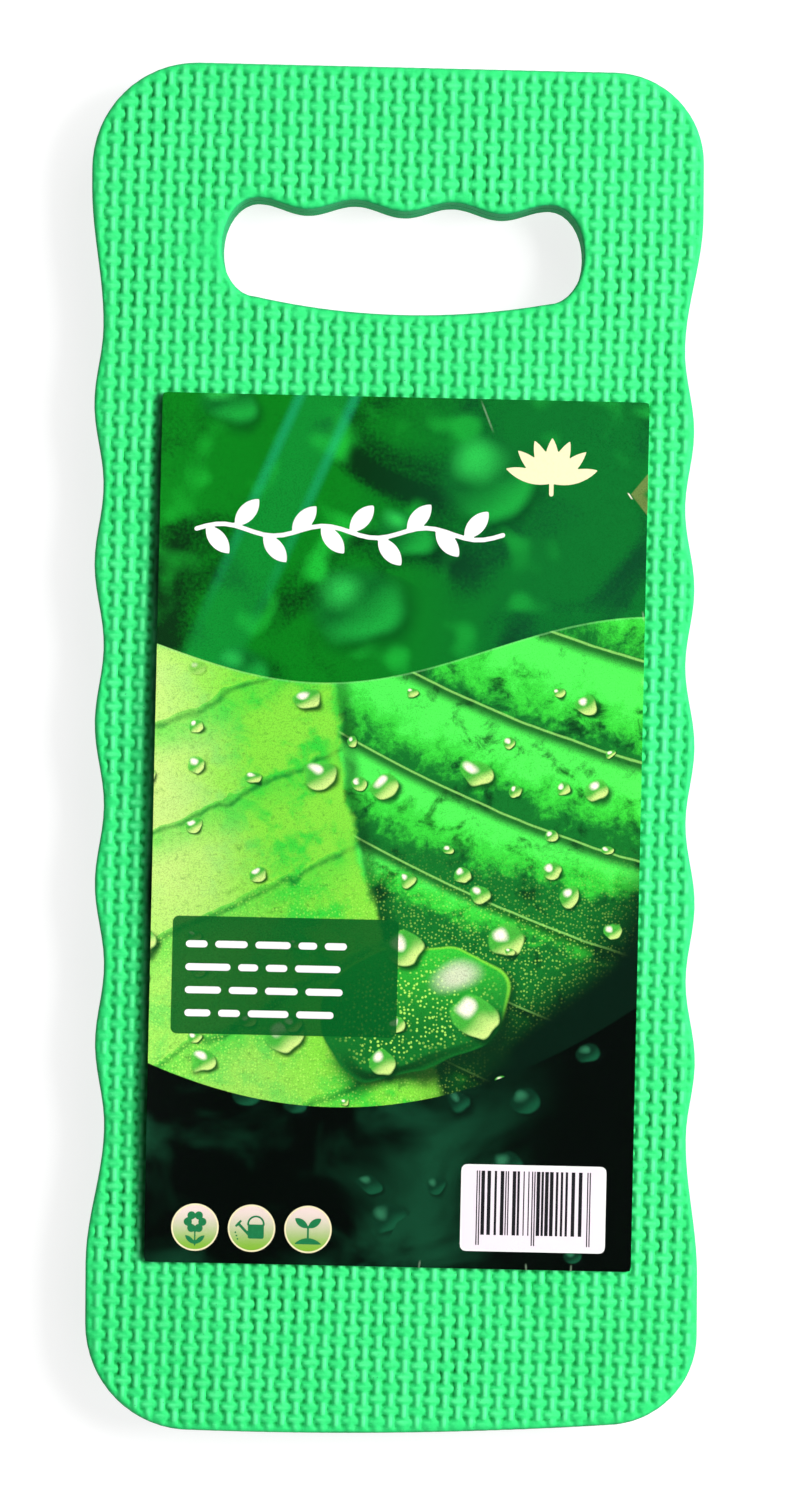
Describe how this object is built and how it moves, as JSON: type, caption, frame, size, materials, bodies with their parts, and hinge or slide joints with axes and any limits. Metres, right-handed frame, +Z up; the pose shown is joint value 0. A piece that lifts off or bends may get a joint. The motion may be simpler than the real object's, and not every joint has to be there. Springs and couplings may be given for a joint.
{
  "type": "kneeling pad",
  "caption": "Flat rounded foam kneeling pad with woven emboss, scalloped sides, a finger-grip hand hole and a printed label on its kneeling face.",
  "frame": {"origin": "centre of the outline on the ground face", "axes": "+X across the pad, to the right when the label is upright; +Y along the pad towards the hand hole; +Z up, out of the kneeling face"},
  "size_m": [0.168, 0.3761, 0.0153],
  "materials": {
    "foam_bottom": "matte",
    "foam_top": "matte",
    "label_adhesive": "matte",
    "label_paper": "satin",
    "label_film": "gloss"
  },
  "bodies": {
    "root": {"bottom_foam_sheet": "foam_bottom", "top_foam_sheet": "foam_top", "label_adhesive": "label_adhesive", "label_paper": "label_paper", "label_film": "label_film"}
  },
  "joints": []
}
